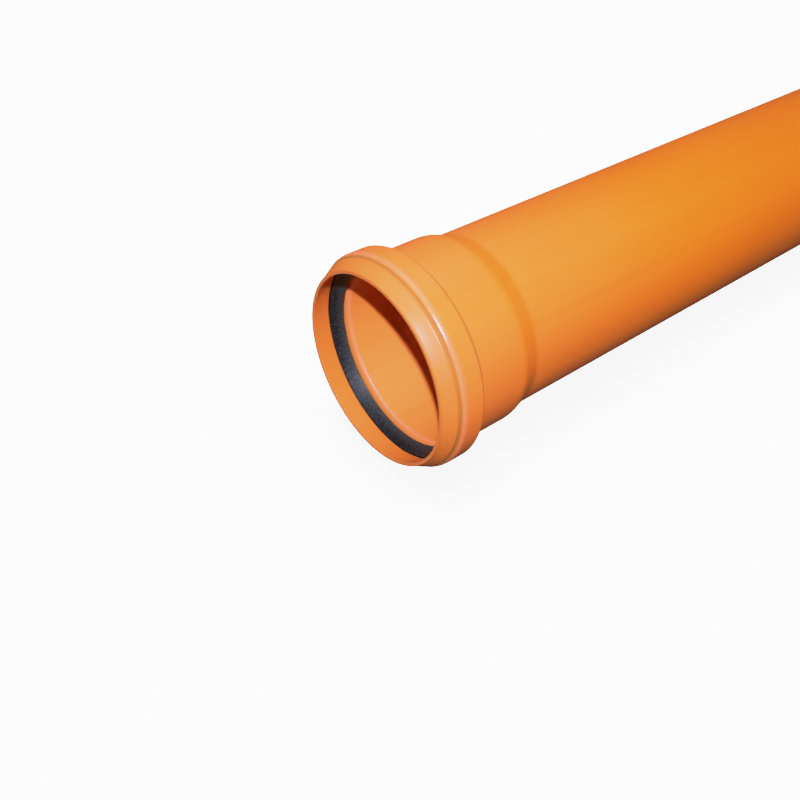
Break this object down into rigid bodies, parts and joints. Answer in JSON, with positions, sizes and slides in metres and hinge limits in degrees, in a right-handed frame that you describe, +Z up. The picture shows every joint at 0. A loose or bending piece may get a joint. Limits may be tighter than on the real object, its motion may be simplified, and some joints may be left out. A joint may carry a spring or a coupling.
{
  "type": "sewer pipe",
  "caption": "Straight plastic sewer pipe with a formed push-fit socket and rubber seal ring on one end and a chamfered spigot on the other.",
  "frame": {"origin": "on the floor under the middle of the lying pipe, the centre of the underside of its bounding box", "axes": "+X level along the pipe from the socket's mouth to the spigot's end, +Z up; the pipe rests on its bead and on the spigot's end, so its own axis slopes down towards +X by 0.53 degree"},
  "size_m": [1.062, 0.1292, 0.1293],
  "materials": {
    "pipe_plastic": "satin orange-brown PVC-U",
    "seal_rubber": "matt black rubber"
  },
  "bodies": {
    "root": {"pipe": "pipe_plastic", "seal_ring": "seal_rubber"}
  },
  "joints": []
}
